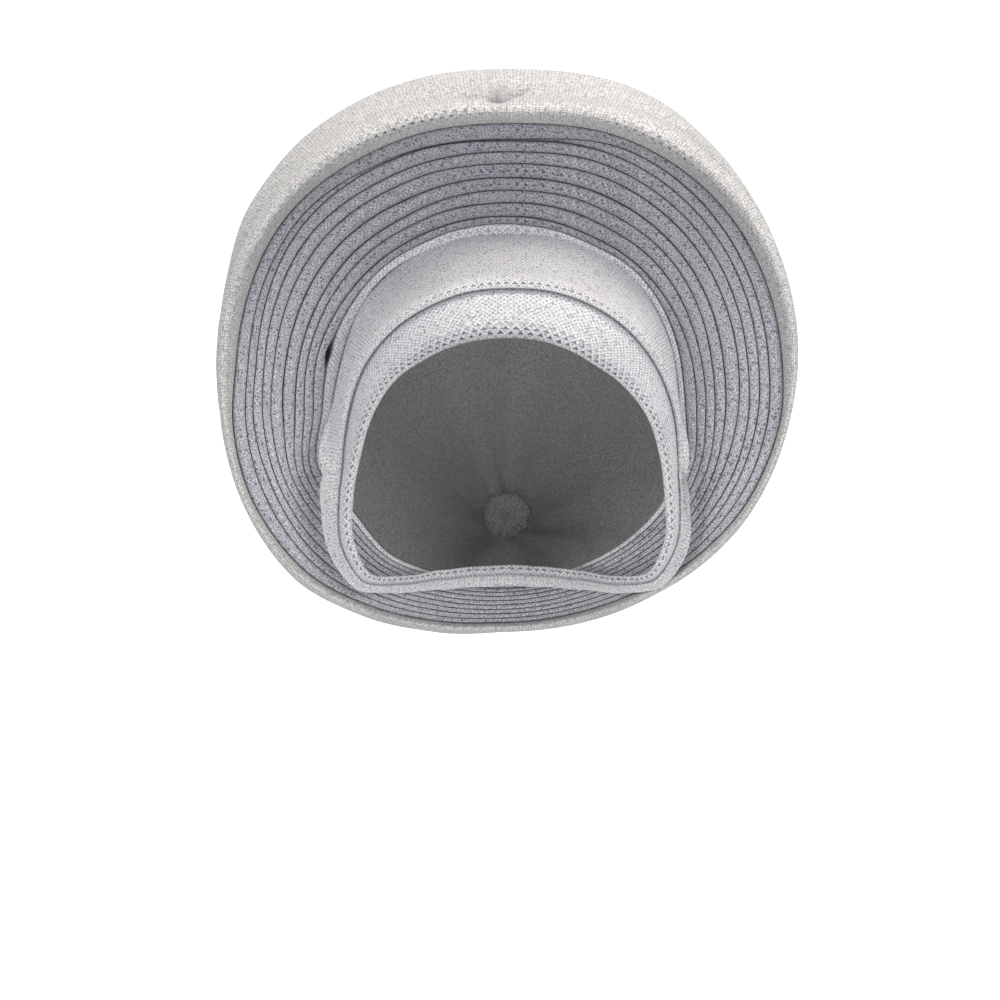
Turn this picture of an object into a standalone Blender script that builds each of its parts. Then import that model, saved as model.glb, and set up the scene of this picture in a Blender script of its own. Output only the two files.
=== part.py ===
"""A pre-tied head wrap of white knitted mesh cloth, in metres, with +Z up and the wearer facing -Y.

The origin is the centre of the face opening's upper part, inside the head hollow. Clock positions run
round the front of the wrap in degrees: 0 is the top, 90 is +X, -90 is -X and 180 is the nape. Radii are
measured from the origin in the X-Z plane. The tables below are in millimetres.
"""
import math

import bmesh
import bpy
import numpy as np

MM = 0.001
GAP = 0.3
STATIONS = 48
TUCK_CLOCK = -3.0

# The front of the fan. Each line is the groove between two folds, from the rim inward.
FOLD_CLOCK = (30, 60, 90, 105, 120, 135, 150, 165)
FOLD_LINES = (
    # name, radius at the top, radii down the -X side, radius at the nape, radii down the +X side
    ("line_01", 95.5, (100.1, 109.9, 115.4, 121.4, 125.7, 127.1, 123.2, 119.2), 116.0,
     (101.9, 110.3, 116.5, 119.6, 119.9, 118.4, 115.8, 115.6)),
    ("line_02", 90.3, (96.6, 105.3, 110.2, 115.7, 120.2, 122.4, 120.2, 116.8), 114.0,
     (97.8, 104.8, 110.9, 114.7, 116.1, 115.6, 113.5, 113.4)),
    ("line_03", 88.9, (93.7, 102.7, 106.9, 112.4, 115.8, 118.4, 117.3, 114.4), 112.0,
     (94.1, 100.8, 106.6, 110.0, 111.9, 112.8, 111.2, 111.3)),
    ("line_04", 84.4, (88.1, 97.7, 103.4, 108.5, 113.0, 115.0, 114.7, 112.2), 110.0,
     (89.2, 95.8, 102.2, 106.5, 109.4, 110.2, 108.8, 109.2)),
    ("line_05", 79.9, (83.4, 92.6, 99.4, 105.0, 109.6, 111.0, 112.2, 110.0), 108.0,
     (84.4, 91.3, 97.8, 101.7, 104.8, 107.6, 106.4, 107.1)),
    ("line_06", 74.3, (77.5, 86.2, 94.8, 100.5, 106.4, 107.9, 109.9, 107.8), 106.0,
     (77.3, 84.8, 91.7, 96.7, 101.9, 105.0, 104.3, 105.1)),
    ("line_07", 69.3, (71.4, 79.6, 89.7, 95.3, 103.4, 105.0, 107.6, 105.6), 104.1,
     (72.1, 80.1, 86.7, 91.9, 98.5, 102.4, 102.3, 103.1)),
    ("line_08", 64.2, (67.0, 75.6, 85.9, 91.1, 100.4, 102.3, 105.3, 103.5), 102.2,
     (66.2, 74.3, 82.5, 88.1, 95.3, 99.6, 100.3, 101.2)),
    ("line_09", 58.7, (61.5, 70.0, 81.9, 86.8, 97.5, 99.6, 103.1, 101.5), 100.4,
     (60.2, 68.5, 78.2, 83.8, 92.2, 97.0, 98.3, 99.4)),
    ("line_10", 55.7, (58.1, 66.7, 76.7, 82.6, 94.6, 97.0, 101.0, 99.6), 98.7,
     (57.2, 66.1, 73.8, 79.2, 88.9, 94.6, 96.4, 97.7)),
    ("line_11", 51.4, (54.0, 63.1, 70.9, 78.2, 91.4, 94.2, 98.9, 97.8), 97.1,
     (54.8, 63.0, 71.1, 76.3, 86.1, 92.2, 94.5, 96.0)),
)

# How far the fan reaches in Y, and how its layers lie: depth of cloth and outward lean in degrees.
FAN_CLOCK = (0, 30, 60, 90, 105, 120, 135, 150, 165, 180)
FAN_ROWS = (
    ("inner_y", (-60, -57, -45, -31, -22, -11, 6, 21, 54, 65)),
    ("outer_y", (-84, -80, -64, -42, -32, -22, -5, 16, 54, 65)),
    ("layer_depth", (20, 20, 19, 18, 17, 16, 15, 14, 13, 13)),
    ("inner_lean", (30, 28, 22, 13, 8, 2, 0, 0, 0, 0)),
    ("outer_lean", (12, 11, 7, 1, 0, 0, 0, 0, 0, 0)),
)

# The crown cloth: the front roll, the dip behind it and the puffed back.
ROLL_CLOCK = (15, 30, 45, 60, 75, 90, 105, 120, 135, 150, 165)
ROLL_ROWS = (
    # name, radius at the top, radii down the -X side, radius at the nape, radii down the +X side
    ("crest", 100.7, (102.5, 105.5, 110, 114.5, 118.5, 121, 123.7, 128.2, 129.8, 126.0, 121.5), 118.2,
     (103, 107, 110.8, 115, 118.8, 121.2, 121.9, 122.2, 121.0, 118.6, 118.0)),
    ("roll", 105.0, (107.5, 111.5, 115.5, 118.5, 121.3, 123.2, 125.8, 130.2, 131.8, 128.2, 123.4), 120.2,
     (108, 113, 116.4, 119.5, 121.8, 123.3, 123.5, 123.9, 122.9, 120.6, 120.0)),
    ("dip", 108.0, (111, 115, 118, 119.8, 120.7, 122.6, 125.5, 130.2, 131.9, 128.4, 123.7), 120.4,
     (111.5, 116, 118.5, 120.8, 122.4, 123.3, 123.5, 123.9, 123.0, 120.8, 120.3)),
    ("puff", 122.1, (124.1, 125.7, 127.1, 128.1, 126.4, 125.4, 127.4, 131.8, 133.4, 129.0, 124.4), 121.0,
     (123.7, 125.9, 124.9, 124.4, 124.2, 124.1, 124.0, 124.4, 123.4, 121.2, 120.8)),
)
ROLL_DEPTHS = (
    ("crest_y", (-94, -90, -73, -48, -37, -26, -9, 12, 51, 62)),
    ("dip_y", (-80, -76, -60, -38, -28, -18, -1, 20, 58, 69)),
    ("puff_y", (-50, -48, -38, -24, -16, -6, 6, 28, 64, 76)),
)
CROWN_BACK = (0.0, 106.0, -74.0)
CROWN_STEPS = (14, 28, 42, 56, 68, 78, 85)
CROWN_WALL = 2.2
ROLL_WALL = 1.4
# Which way the lining lies from the outer face in the first rows: in radius and in depth.
ROLL_LINING = ((1, 0), (0.95, 0.3), (0.85, 0.5), (0.3, 0.95), (-0.45, 0.9), (-0.97, 0.25), (-1, 0.1))
BACK_FOLDS = 8
BACK_FOLD_HEIGHT = 2.2

# The two bands round the face, about a centre of their own. Reach is the radius from that centre.
BAND_CENTRE = (1.0, -40.0)
BAND_CLOCK = (0, 15, 30, 45, 60, 75, 90, 105, 120, 130, 140, 150, 165)
BAND_ROWS = (
    # name, -X side from the top, nape, +X side from 15 degrees
    ("edge", (46.9, 47.8, 49.9, 53.0, 58.0, 61.8, 65.6, 71.8, 79.6, 81.6, 71, 60.5, 52.5), 50.0,
     (47.3, 48.4, 50.4, 55.3, 60.9, 65.4, 70.7, 78.8, 80.6, 71, 60.5, 52.5)),
    ("seam", (65.3, 66.1, 67.1, 68.7, 69.7, 69.5, 71.0, 76.5, 83.4, 85.2, 75, 64.5, 56.5), 54.0,
     (66.2, 67.4, 68.8, 69.8, 70.5, 71.4, 75.5, 82.4, 84.0, 75, 64.5, 56.5)),
    ("outer", (91.1, 89.8, 87.9, 85.4, 83.2, 81.8, 82.4, 84.2, 87.6, 89.0, 79.5, 69.5, 61.5), 59.0,
     (90.1, 88.9, 86.9, 81.7, 76.8, 75.2, 78.0, 85.9, 87.6, 79.5, 69.5, 61.5)),
)
BAND_DEPTHS = (
    ("edge_y", (-95, -94, -90, -81, -68, -55, -41, -30, -18, -6, 22, 41, 54), 58),
    ("seam_y", (-87, -86, -81, -71, -57, -42, -28, -20, -11, 0, 25, 43, 55), 59),
    ("outer_y", (-59, -59, -57, -51, -42, -27, -16, -11, -4, 4, 28, 45, 56), 60),
)
FRONT_BAND_WALL = 3.2
FOREHEAD_BAND_WALL = 3.6
BAND_TUCK = 5.0
BAND_AHEAD = {"edge": 6.5, "seam": 5.5, "outer": 4.5}


def ring_curve(marks):
    """Returns a smooth function round the ring from (clock, value) marks, with no overshoot."""
    marks = sorted(marks)
    clock = np.array([m[0] for m in marks], float)
    value = np.array([m[1] for m in marks], float)
    step = np.append(clock[1:], clock[0] + 360.0) - clock
    rise = (np.append(value[1:], value[0]) - value) / step
    before, step_before = np.roll(rise, 1), np.roll(step, 1)
    same_way = before * rise > 0
    slope = np.zeros_like(rise)
    both = (before * rise * (step + step_before))[same_way]
    slope[same_way] = both / (step * before + step_before * rise)[same_way]

    def at(angle):
        angle = (np.asarray(angle, float) - clock[0]) % 360.0 + clock[0]
        i = np.clip(np.searchsorted(clock, angle, side="right") - 1, 0, len(clock) - 1)
        j = (i + 1) % len(clock)
        t = (angle - clock[i]) / step[i]
        a = value[i] * (1 + 2 * t) * (1 - t) ** 2 + value[j] * t * t * (3 - 2 * t)
        b = step[i] * (slope[i] * t * (1 - t) ** 2 - slope[j] * t * t * (1 - t))
        return a + b

    return at


def side_curve(clock, top, minus_x, nape, plus_x):
    marks = [(0.0, top), (180.0, nape)]
    marks += [(-c, v) for c, v in zip(clock, minus_x)]
    marks += [(c, v) for c, v in zip(clock, plus_x)]
    return ring_curve(marks)


def even_curve(clock, values):
    inner = [c for c in clock if c not in (0, 180)]
    both = dict(zip(clock, values))
    sides = [both[c] for c in inner]
    return side_curve(inner, both[0], sides, both[180], sides)


def smooth_step(t):
    t = np.clip(t, 0.0, 1.0)
    return t * t * (3.0 - 2.0 * t)


FAN = {name: even_curve(FAN_CLOCK, values) for name, values in FAN_ROWS}
LINES = [side_curve(FOLD_CLOCK, *row[1:]) for row in FOLD_LINES]
ROLL = {row[0]: side_curve(ROLL_CLOCK, *row[1:]) for row in ROLL_ROWS}
ROLL.update({name: even_curve(FAN_CLOCK, values) for name, values in ROLL_DEPTHS})
BAND = {
    name: side_curve(BAND_CLOCK[1:], minus_x[0], minus_x[1:], nape, plus_x)
    for name, minus_x, nape, plus_x in BAND_ROWS
}
BAND.update(
    {
        name: side_curve(BAND_CLOCK[1:], values[0], values[1:], nape, values[1:])
        for name, values, nape in BAND_DEPTHS
    }
)


def share_out(n, angle):
    """How far line n lies from the innermost line to the outermost one, from 0 to 1."""
    inner, outer = LINES[-1](angle), LINES[0](angle)
    return (LINES[n](angle) - inner) / (outer - inner)


def line_depth(n, angle):
    share = np.clip(share_out(n, angle), 0.0, 1.0) ** 1.2
    return FAN["inner_y"](angle) + (FAN["outer_y"](angle) - FAN["inner_y"](angle)) * share


def line_lean(n, angle):
    share = np.clip(share_out(n, angle), 0.0, 1.0)
    lean = FAN["inner_lean"](angle) + (FAN["outer_lean"](angle) - FAN["inner_lean"](angle)) * share
    return np.tan(np.radians(lean))


def from_clock(angle, radius, depth):
    a = np.radians(angle)
    return np.stack([radius * np.sin(a), depth, radius * np.cos(a)], axis=-1)


def ring_angles():
    return TUCK_CLOCK + 360.0 / STATIONS * np.arange(STATIONS)


def ring_mesh(name, sections, material):
    """Joins sections, one array of points for each station, into a closed ring of faces."""
    count, around = sections.shape[0], sections.shape[1]
    mesh = bpy.data.meshes.new(name)
    body = bmesh.new()
    verts = [[body.verts.new(p * MM) for p in section] for section in sections]
    for i in range(count):
        here, there = verts[i], verts[(i + 1) % count]
        for k in range(around):
            m = (k + 1) % around
            body.faces.new((here[k], here[m], there[m], there[k]))
    finish(body, mesh, name, material)


def finish(body, mesh, name, material):
    bmesh.ops.recalc_face_normals(body, faces=body.faces)
    bmesh.ops.triangulate(body, faces=body.faces)
    if body.calc_volume(signed=True) < 0:
        bmesh.ops.reverse_faces(body, faces=body.faces)
    body.to_mesh(mesh)
    body.free()
    mesh.materials.append(material)
    part = bpy.data.objects.new(name, mesh)
    bpy.context.scene.collection.objects.link(part)


def cloth(name, colour, roughness):
    material = bpy.data.materials.new(name)
    material.use_nodes = True
    shader = material.node_tree.nodes["Principled BSDF"]
    shader.inputs["Base Color"].default_value = (*colour, 1.0)
    shader.inputs["Roughness"].default_value = roughness
    shader.inputs["Sheen Weight"].default_value = 0.3
    return material


def fold_section(n, angle, recess=0.0, pinch=0.0):
    """One folded layer between line n and line n + 1: a rounded front edge and two faces going back."""
    inner = LINES[n + 1](angle) + GAP / 2
    outer = LINES[n](angle) - GAP / 2 - pinch
    wide = outer - inner
    depth_in, depth_out = line_depth(n + 1, angle), line_depth(n, angle)
    deep = FAN["layer_depth"](angle)
    lean_in, lean_out = line_lean(n + 1, angle), line_lean(n, angle)
    shoulder = recess + 0.5 * wide
    lean = (lean_in + lean_out) / 2
    points = (
        (inner + lean_in * deep, depth_in + deep),
        (inner + lean_in * shoulder, depth_in + shoulder),
        (inner + 0.27 * wide + lean * recess, 0.73 * depth_in + 0.27 * depth_out + recess),
        (inner + 0.73 * wide + lean * recess, 0.27 * depth_in + 0.73 * depth_out + recess),
        (outer + lean_out * shoulder, depth_out + shoulder),
        (outer + lean_out * deep, depth_out + deep),
    )
    return np.stack([from_clock(angle, r, y) for r, y in points], axis=1)


def add_pleats(material):
    angle = ring_angles()
    away_from_top = np.abs((angle + 180.0) % 360.0 - 180.0)
    for n in range(9):
        # The second fold sinks behind the first one across the top.
        recess = 3.0 * (1.0 - smooth_step((away_from_top - 12.0) / 22.0)) if n == 1 else 0.0 * angle
        ring_mesh(f"pleat_{n + 1:02d}", fold_section(n, angle, recess), material)


def add_inner_strip(material):
    angle = ring_angles()
    # A small open gap beside the strip at the -X side.
    pinch = 2.2 * np.exp(-(((angle + 90.0 + 180.0) % 360.0 - 180.0) / 5.0) ** 2)
    ring_mesh("inner_strip", fold_section(9, angle, 0.0, pinch), material)


def crown_rows():
    """The crown cloth's outer face, as rows of points from the hem behind the roll to the back."""
    angle = ring_angles()
    line, depth = LINES[0](angle) + GAP / 2, line_depth(0, angle)
    crest, crest_y = ROLL["crest"](angle), ROLL["crest_y"](angle)
    roll, dip, dip_y = ROLL["roll"](angle), ROLL["dip"](angle), ROLL["dip_y"](angle)
    puff, puff_y = ROLL["puff"](angle), ROLL["puff_y"](angle)
    near_tuck = np.exp(-(((angle - TUCK_CLOCK + 180.0) % 360.0 - 180.0) / 7.0) ** 2)
    dip = dip - 2.6 * near_tuck
    lean = line_lean(0, angle)
    rows = [
        from_clock(angle, line + lean * 6.0 + 0.1, depth + 6.0),
        from_clock(angle, line + 0.1, depth + 0.8),
        from_clock(angle, line + 0.35 * (crest - line), depth + 0.62 * (crest_y - depth)),
        from_clock(angle, line + 0.78 * (crest - line), depth + 0.97 * (crest_y - depth)),
        from_clock(angle, crest + 0.42 * (roll - crest), crest_y + 0.5),
        from_clock(angle, roll, crest_y + 5.0),
        from_clock(angle, dip, dip_y),
        from_clock(angle, dip + 0.66 * (puff - dip), dip_y + 0.45 * (puff_y - dip_y)),
        from_clock(angle, puff, puff_y),
    ]
    back_x, back_y, back_z = CROWN_BACK
    start = rows[-1]
    for degrees in CROWN_STEPS:
        t = math.radians(degrees)
        shrink, go = math.cos(t), math.sin(t)
        row = np.empty_like(start)
        row[:, 0] = back_x + (start[:, 0] - back_x) * shrink
        row[:, 1] = start[:, 1] + (back_y - start[:, 1]) * go
        row[:, 2] = back_z + (start[:, 2] - back_z) * shrink
        height = BACK_FOLD_HEIGHT * float(smooth_step((degrees - 20.0) / 45.0)) * min(1.0, 2.4 * shrink)
        bend = angle + 9.0 * np.sin(np.radians(2.0 * angle + 40.0)) + 0.12 * degrees
        wave = height * np.cos(np.radians(BACK_FOLDS * bend)) * (0.75 + 0.25 * np.cos(np.radians(3 * angle)))
        out = np.stack([row[:, 0] - back_x, 0.35 * (row[:, 1] - 20.0), row[:, 2] - back_z], axis=1)
        out /= np.linalg.norm(out, axis=1, keepdims=True)
        rows.append(row + out * wave[:, None])
    return rows


def add_crown(material):
    rows = np.stack(crown_rows(), axis=1)
    count, length = rows.shape[0], rows.shape[1]
    across = np.gradient(rows, axis=1)
    along = (np.roll(rows, -1, axis=0) - np.roll(rows, 1, axis=0)) / 2.0
    normal = np.cross(across, along)
    normal /= np.linalg.norm(normal, axis=2, keepdims=True)
    centre = np.array([0.0, 0.0, -20.0])
    if ((rows[:, -4] - centre) * normal[:, -4]).sum() < 0:
        normal = -normal
    share = smooth_step((np.arange(length) - 4.0) / 5.0)
    wall = ROLL_WALL + (CROWN_WALL - ROLL_WALL) * share
    clock = np.radians(ring_angles())
    outward = np.stack([np.sin(clock), 0.0 * clock, np.cos(clock)], axis=1)
    for k, (in_radius, in_depth) in enumerate(ROLL_LINING):
        normal[:, k] = -in_radius * outward
        normal[:, k, 1] = -in_depth
    lining = rows - normal * wall[None, :, None]
    mesh = bpy.data.meshes.new("crown_wrap")
    body = bmesh.new()
    outer = [[body.verts.new(p * MM) for p in station] for station in rows]
    inner = [[body.verts.new(p * MM) for p in station] for station in lining]
    tip_out = body.verts.new(rows[:, -1].mean(axis=0) * MM + np.array([0.0, 0.8, 0.0]) * MM)
    tip_in = body.verts.new(lining[:, -1].mean(axis=0) * MM + np.array([0.0, 0.3, 0.0]) * MM)
    for i in range(count):
        j = (i + 1) % count
        for k in range(length - 1):
            body.faces.new((outer[i][k], outer[i][k + 1], outer[j][k + 1], outer[j][k]))
            body.faces.new((inner[i][k], inner[j][k], inner[j][k + 1], inner[i][k + 1]))
        body.faces.new((outer[i][0], outer[j][0], inner[j][0], inner[i][0]))
        body.faces.new((outer[i][-1], tip_out, outer[j][-1]))
        body.faces.new((inner[i][-1], inner[j][-1], tip_in))
    finish(body, mesh, "crown_wrap", material)


def band_point(name, angle):
    a = np.radians(angle)
    reach = BAND[name](angle)
    x = BAND_CENTRE[0] + reach * np.sin(a)
    z = BAND_CENTRE[1] + reach * np.cos(a)
    # Low at the sides and at the nape the bands lie ahead of the fan's front.
    clock = np.degrees(np.arctan2(x, z))
    front = np.minimum(FAN["inner_y"](clock), FAN["outer_y"](clock)) - BAND_AHEAD[name]
    low = smooth_step((np.abs(clock) - 112.0) / 12.0)
    depth = BAND[name + "_y"](angle)
    if name == "outer":
        meets = at_strip(clock)
        depth = meets * (FAN["inner_y"](clock) + 0.6) + (1.0 - meets) * depth
    depth = depth + low * np.minimum(front - depth, 0.0)
    return np.stack([x, depth, z], axis=1)


def at_strip(clock):
    """1 where the bands run in under the innermost strip, 0 low at the sides and at the nape."""
    return 1.0 - smooth_step((np.abs(clock) - 106.0) / 8.0)


def under_strip(points, deep, below):
    """Carries points of the bands' outer edge on below the strip, where the bands meet it."""
    clock = np.degrees(np.arctan2(points[:, 0], points[:, 2]))
    radius = LINES[-1](clock) + GAP / 2 + line_lean(10, clock) * deep - below
    under = from_clock(clock, radius, line_depth(10, clock) + deep)
    meets = at_strip(clock)[:, None]
    short = points + np.array([0.0, 0.4, 0.0])
    return meets * under + (1.0 - meets) * short


def inside_strip(points):
    """Keeps the outer edge of the bands inside the innermost line of the fan, where they meet."""
    clock = np.degrees(np.arctan2(points[:, 0], points[:, 2]))
    radius = np.hypot(points[:, 0], points[:, 2])
    limit = LINES[-1](clock) - GAP
    meets = 1.0 - smooth_step((np.abs(clock) - 119.0) / 6.0)
    held = np.where(radius > limit, limit + (radius - limit) * (1.0 - meets), radius)
    points = points.copy()
    points[:, 0] *= held / radius
    points[:, 2] *= held / radius
    return points


def band_frame(start, end):
    """Unit directions along the band's width and out of its face."""
    along = end - start
    width = np.linalg.norm(along, axis=1, keepdims=True)
    along = along / width
    tangent = np.roll(start, -1, axis=0) - np.roll(start, 1, axis=0)
    out = np.cross(tangent, along)
    out /= np.linalg.norm(out, axis=1, keepdims=True)
    centre = np.array([BAND_CENTRE[0], 20.0, BAND_CENTRE[1]])
    side = np.sign(((start - centre) * out).sum())
    return along, out * side, width


def add_bands(material):
    angle = 360.0 / STATIONS * np.arange(STATIONS)
    edge, seam = band_point("edge", angle), band_point("seam", angle)
    outer = inside_strip(band_point("outer", angle))
    at_nape = smooth_step((np.abs((angle + 180.0) % 360.0 - 180.0) - 118.0) / 20.0)[:, None]

    along, out, width = band_frame(edge, seam)
    along_over, out_over, width_over = band_frame(seam, outer)
    wall = FRONT_BAND_WALL - 1.6 * at_nape
    tuck = np.minimum(BAND_TUCK, 0.3 * width_over) * (1.0 - 0.6 * at_nape)
    bend = out + out_over
    bend /= np.linalg.norm(bend, axis=1, keepdims=True)
    front = [
        edge - out * 0.62 * wall,
        edge + along * 1.2 - out * 0.1 * wall,
        edge + along * 0.45 * width + out * 0.2 * wall,
        seam - bend * 0.05,
        seam + along_over * tuck - out_over * 0.1,
        seam + along_over * tuck - out_over * 0.9 * wall,
        seam - bend * wall,
        edge + along * 0.45 * width - out * wall,
        edge + along * 1.2 - out * 0.97 * wall,
    ]
    ring_mesh("front_band", np.stack(front, axis=1), material)

    along, out, width = along_over, out_over, width_over
    lift = GAP + 0.35
    wall = FOREHEAD_BAND_WALL - 2.0 * at_nape
    tuck = np.minimum(BAND_TUCK + 1.5, 0.4 * width)
    step_in = tuck + np.minimum(2.0, 0.1 * width)
    drop = 2.6 * (1.0 - at_nape)
    end_over = -0.2 * (1.0 - at_nape) + (lift + 0.8 * wall) * at_nape
    end_under = -1.6 * (1.0 - at_nape) + (lift + 0.2 * wall) * at_nape
    places = (
        (0.0 * width, lift + 0.5 * wall), (0.05 * width, lift + 0.95 * wall),
        (0.3 * width, lift + 1.15 * wall - 0.3 * drop), (0.68 * width, lift + wall - 0.7 * drop),
        (width, end_over), (width - 0.3, end_under),
        (0.68 * width, lift - drop), (step_in, lift - 0.5 * drop), (tuck, lift + 0.0 * width),
        (0.06 * width, lift + 0.05 * wall),
    )
    over = [seam + along * s + out * h for s, h in places]
    over[5:5] = [under_strip(over[4], 5.0, 0.6), under_strip(over[5], 5.0, 2.4)]
    ring_mesh("forehead_band", np.stack(over, axis=1), material)


def build():
    for thing in list(bpy.data.objects):
        bpy.data.objects.remove(thing)
    crown = cloth("crown_knit", (0.80, 0.79, 0.80), 0.78)
    pleat = cloth("pleat_knit", (0.70, 0.70, 0.74), 0.8)
    band = cloth("band_knit", (0.78, 0.77, 0.79), 0.78)
    add_crown(crown)
    add_pleats(pleat)
    add_inner_strip(band)
    add_bands(band)


build()
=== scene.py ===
"""The worn look of a ready-tied head wrap of white mesh knit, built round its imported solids.

Lengths in the tables are millimetres. Clock positions are degrees round the front of the wrap: 0 is the
top, 90 is +X, -90 is -X and 180 is the nape. Radii are measured from the origin in the X-Z plane.
"""

import math

import bpy
import numpy as np
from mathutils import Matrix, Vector


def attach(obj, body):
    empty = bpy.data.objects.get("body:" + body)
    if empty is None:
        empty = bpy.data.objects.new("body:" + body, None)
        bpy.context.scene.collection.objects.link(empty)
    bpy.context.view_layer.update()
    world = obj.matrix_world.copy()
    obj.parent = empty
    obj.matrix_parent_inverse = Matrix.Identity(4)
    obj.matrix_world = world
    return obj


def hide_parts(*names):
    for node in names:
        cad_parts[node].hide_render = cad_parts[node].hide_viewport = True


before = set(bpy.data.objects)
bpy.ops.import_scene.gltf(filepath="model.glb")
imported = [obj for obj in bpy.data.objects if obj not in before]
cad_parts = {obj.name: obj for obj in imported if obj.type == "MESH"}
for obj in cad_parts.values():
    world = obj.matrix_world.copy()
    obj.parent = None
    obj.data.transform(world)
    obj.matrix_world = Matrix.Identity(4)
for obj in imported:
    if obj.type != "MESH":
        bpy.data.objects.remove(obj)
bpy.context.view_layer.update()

MM = 0.001
# The air between two folds, and between the fan and what lies beside it.
LAYER_GAP = 0.2
SECTION_GAP = 0.3
# Stations round each ring. The crown's first one is near the tuck.
STATIONS = 560
TUCK_CLOCK = -3.0

# The groove between two folds, from the rim inward.
FOLD_CLOCK = (30, 60, 90, 105, 120, 135, 150, 165)
FOLD_LINES = (
    # radius at the top, radii down the -X side, radius at the nape, radii down the +X side
    (95.2, (100.1, 109.9, 115.4, 121.4, 125.7, 127.1, 123.2, 119.2), 116.0,
     (101.9, 110.3, 116.5, 119.6, 119.9, 118.4, 115.8, 115.6)),
    (88.7, (94.4, 105.3, 110.2, 115.7, 120.2, 122.4, 120.2, 116.8), 114.0,
     (97.8, 104.8, 110.9, 114.7, 116.1, 115.6, 113.5, 113.4)),
    (88.1, (93.7, 102.7, 106.9, 112.4, 115.8, 118.4, 117.3, 114.4), 112.0,
     (94.1, 100.8, 106.6, 110.0, 111.9, 112.8, 111.2, 111.3)),
    (84.0, (88.1, 97.7, 103.4, 108.5, 113.0, 115.0, 114.7, 112.2), 110.0,
     (89.2, 95.8, 102.2, 106.5, 109.4, 110.2, 108.8, 109.2)),
    (79.1, (83.4, 92.6, 99.4, 105.0, 109.6, 111.0, 112.2, 110.0), 108.0,
     (84.4, 91.3, 97.8, 101.7, 104.8, 107.6, 106.4, 107.1)),
    (73.6, (77.0, 86.0, 94.4, 99.9, 106.4, 107.9, 109.9, 107.8), 106.0,
     (77.3, 84.8, 91.7, 96.7, 101.9, 105.0, 104.3, 105.1)),
    (68.6, (71.0, 79.4, 89.0, 94.5, 103.4, 105.0, 107.6, 105.6), 104.1,
     (72.1, 80.1, 86.7, 91.9, 98.5, 102.4, 102.3, 103.1)),
    (63.6, (66.6, 75.4, 85.4, 90.6, 100.4, 102.3, 105.3, 103.5), 102.2,
     (66.2, 74.3, 82.5, 88.1, 95.3, 99.6, 100.3, 101.2)),
    (57.9, (61.0, 69.8, 81.5, 86.4, 97.5, 99.6, 103.1, 101.5), 100.4,
     (60.2, 68.5, 78.2, 83.8, 92.2, 97.0, 98.3, 99.4)),
    (55.1, (58.1, 66.7, 76.7, 82.6, 94.6, 97.0, 101.0, 99.6), 98.7,
     (57.2, 66.1, 73.8, 79.2, 88.9, 94.6, 96.4, 97.7)),
    (50.2, (54.0, 63.1, 70.9, 78.2, 91.4, 94.2, 98.9, 97.8), 97.1,
     (54.8, 63.0, 71.1, 76.3, 86.1, 92.2, 94.5, 96.0)),
)

# A fold lies between each two lines: nine pleats, one of them sunk across the top, and the strip.
SUNK_PLEAT = 1
STRIP = 9
LAST_LINE = STRIP + 1

# How far the fan reaches in Y, and how its layers lie: depth of cloth and outward lean in degrees.
FAN_CLOCK = (0, 30, 60, 90, 105, 120, 135, 150, 165, 180)
FAN_ROWS = (
    ("inner_y", (-60, -57, -45, -31, -22, -11, 6, 21, 54, 65)),
    ("outer_y", (-84, -80, -64, -42, -32, -22, -5, 16, 54, 65)),
    ("layer_depth", (20, 20, 19, 18, 17, 16, 15, 14, 13, 13)),
    ("inner_lean", (30, 28, 22, 13, 8, 2, 0, 0, 0, 0)),
    ("outer_lean", (12, 11, 7, 1, 0, 0, 0, 0, 0, 0)),
)

# The crown cloth: the front roll, the dip behind it and the puffed back.
ROLL_CLOCK = (15, 30, 45, 60, 75, 90, 105, 120, 135, 150, 165)
ROLL_ROWS = (
    # name, then as for the fold lines
    ("crest", 99.9, (101.9, 105.5, 110, 114.5, 118.5, 121, 123.7, 128.2, 129.8, 126.0, 121.5), 118.2,
     (103, 107, 110.8, 115, 118.8, 121.2, 121.9, 122.2, 121.0, 118.6, 118.0)),
    ("roll", 105.0, (107.5, 111.5, 115.5, 118.5, 121.3, 123.2, 125.8, 130.2, 131.8, 128.2, 123.4), 120.2,
     (108, 113, 116.4, 119.5, 121.8, 123.3, 123.5, 123.9, 122.9, 120.6, 120.0)),
    ("dip", 108.0, (111, 115, 118, 119.8, 120.7, 122.6, 125.5, 130.2, 131.9, 128.4, 123.7), 120.4,
     (111.5, 116, 118.5, 120.8, 122.4, 123.3, 123.5, 123.9, 123.0, 120.8, 120.3)),
    ("puff", 122.1, (124.1, 125.7, 126.9, 127.5, 125.0, 124.4, 127.4, 131.8, 133.4, 129.0, 124.4), 121.0,
     (123.7, 125.9, 124.9, 123.8, 124.2, 124.1, 124.0, 124.4, 123.4, 121.2, 120.8)),
)
ROLL_DEPTHS = (
    ("crest_y", (-94, -90, -73, -48, -37, -26, -9, 12, 51, 62)),
    ("dip_y", (-80, -76, -60, -38, -28, -18, -1, 20, 58, 69)),
    ("puff_y", (-50, -48, -38, -24, -16, -6, 6, 28, 64, 76)),
)
# Where the puffed cloth closes at the back, and its rows on the way there in degrees of a quarter turn.
CROWN_BACK = (0.0, 106.0, -74.0)
CROWN_STEPS = (14, 28, 42, 56, 68, 78, 85)
# Control rows of the crown, and how many rows of the grid each stretch between two of them has.
CREST_ROW, ROLL_ROW, PUFF_ROW = 4, 5, 8
CROWN_PARTS = (4, 5, 6, 6, 6, 8, 9, 6)
BACK_PARTS = 4
CROWN_WALL = 1.8
ROLL_WALL = 1.2
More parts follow.
